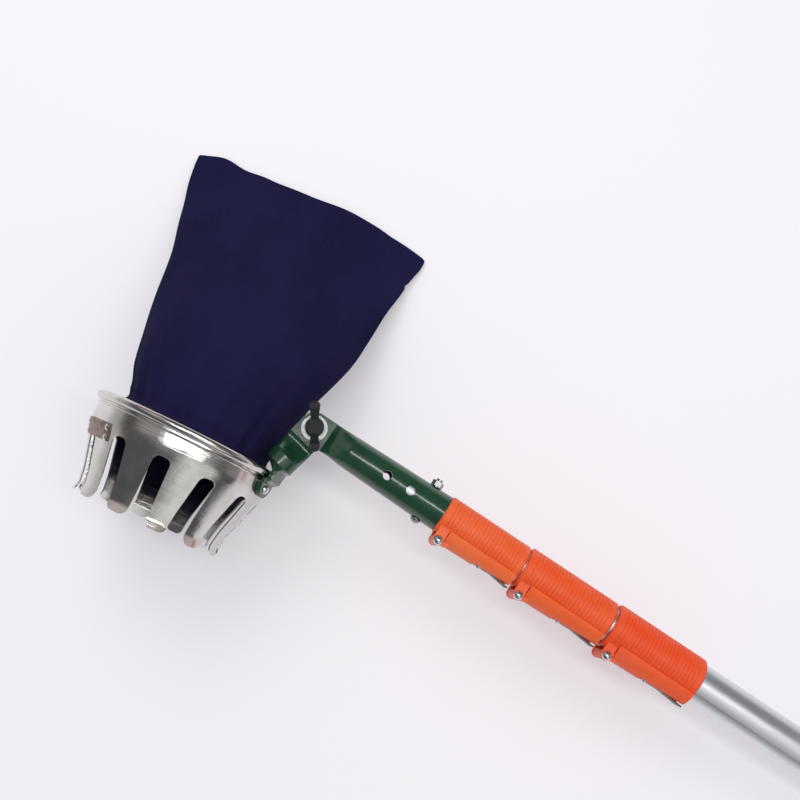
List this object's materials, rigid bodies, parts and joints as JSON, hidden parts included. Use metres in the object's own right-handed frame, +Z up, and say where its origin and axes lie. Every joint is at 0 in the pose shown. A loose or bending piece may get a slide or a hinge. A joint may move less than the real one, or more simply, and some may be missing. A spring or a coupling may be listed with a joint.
{
  "type": "fruit picker",
  "caption": "Fruit picker: a tined metal cup with a cloth bag, hinged at the end of a telescopic pole with lever clamps.",
  "frame": {"origin": "on the floor under the middle of the object's box, as it lies with its pole drawn in", "axes": "+X along the pole from the hinge to its butt, +Y from the tines to the bag, +Z up; the pole falls by about 4.9 degrees towards its butt"},
  "size_m": [1.1414, 0.325, 0.1503],
  "materials": {
    "cup_metal": "polished sheet",
    "clip_steel": "dull plated",
    "bright_steel": "zinc plated",
    "brass_insert": "turned",
    "green_paint": "gloss enamel",
    "navy_cloth": "matt woven cloth",
    "black_plastic": "moulded",
    "orange_plastic": "moulded, satin gloss",
    "pad_rubber": "moulded",
    "pole_aluminium": "drawn, fine lengthwise lines",
    "guide_plastic": "moulded",
    "grip_rubber": "matt"
  },
  "bodies": {
    "handle_section": {"outer_tube": "pole_aluminium", "rear_clamp_sleeve": "orange_plastic", "rear_brake_pad": "pad_rubber", "rear_lever_pin": "bright_steel", "pole_grip": "grip_rubber", "end_cap": "black_plastic"},
    "rear_lever": {"rear_lever": "orange_plastic", "rear_lever_strip": "bright_steel", "rear_strip_rivet": "bright_steel"},
    "second_section": {"second_tube": "pole_aluminium", "second_guide": "guide_plastic", "middle_clamp_sleeve": "orange_plastic", "middle_brake_pad": "pad_rubber", "middle_lever_pin": "bright_steel"},
    "middle_lever": {"middle_lever": "orange_plastic", "middle_lever_strip": "bright_steel", "middle_strip_rivet": "bright_steel"},
    "third_section": {"third_tube": "pole_aluminium", "third_guide": "guide_plastic", "front_clamp_sleeve": "orange_plastic", "front_brake_pad": "pad_rubber", "front_lever_pin": "bright_steel"},
    "front_lever": {"front_lever": "orange_plastic", "front_lever_strip": "bright_steel", "front_strip_rivet": "bright_steel"},
    "tip_section": {"tip_tube": "pole_aluminium", "tip_guide": "guide_plastic", "socket_arm": "green_paint", "socket_bolt": "bright_steel", "socket_nut": "bright_steel", "hinge_bolt": "bright_steel", "hinge_washers": "bright_steel"},
    "head": {"picking_cup": "cup_metal", "seam_clip": "clip_steel", "seam_rivets": "bright_steel", "fruit_bag": "navy_cloth", "bag_hoop": "bright_steel", "head_arm": "green_paint", "tab_screw": "bright_steel", "tab_nut": "bright_steel"},
    "wing_nut": {"wing_nut": "black_plastic", "wing_nut_insert": "brass_insert"}
  },
  "joints": [
    {"name": "second_slide", "type": "slide", "parent": "handle_section", "child": "second_section", "axis": [-0.9964, 0, 0.0846], "range_m": [0, 0.48]},
    {"name": "third_slide", "type": "slide", "parent": "second_section", "child": "third_section", "axis": [-0.9964, 0, 0.0846], "range_m": [0, 0.53]},
    {"name": "tip_slide", "type": "slide", "parent": "third_section", "child": "tip_section", "axis": [-0.9964, 0, 0.0846], "range_m": [0, 0.57]},
    {"name": "rear_lever_hinge", "type": "hinge", "parent": "handle_section", "child": "rear_lever", "pos_m": [-0.07847, -0.05013, 0.07212], "axis": [-0.0846, 0, -0.9964], "range_deg": [0, 120]},
    {"name": "middle_lever_hinge", "type": "hinge", "parent": "second_section", "child": "middle_lever", "pos_m": [-0.15619, -0.04904, 0.07872], "axis": [-0.0846, 0, -0.9964], "range_deg": [0, 120]},
    {"name": "front_lever_hinge", "type": "hinge", "parent": "third_section", "child": "front_lever", "pos_m": [-0.22693, -0.04793, 0.08473], "axis": [-0.0846, 0, -0.9964], "range_deg": [0, 120]},
    {"name": "head_tilt", "type": "hinge", "parent": "tip_section", "child": "head", "pos_m": [-0.3472, -0.02893, 0.09495], "axis": [0.0846, 0, 0.9964], "range_deg": [-75, 35]},
    {"name": "wing_nut_turn", "type": "hinge", "parent": "tip_section", "child": "wing_nut", "pos_m": [-0.34635, -0.02893, 0.10491], "axis": [0.0846, 0, 0.9964], "continuous": true}
  ]
}
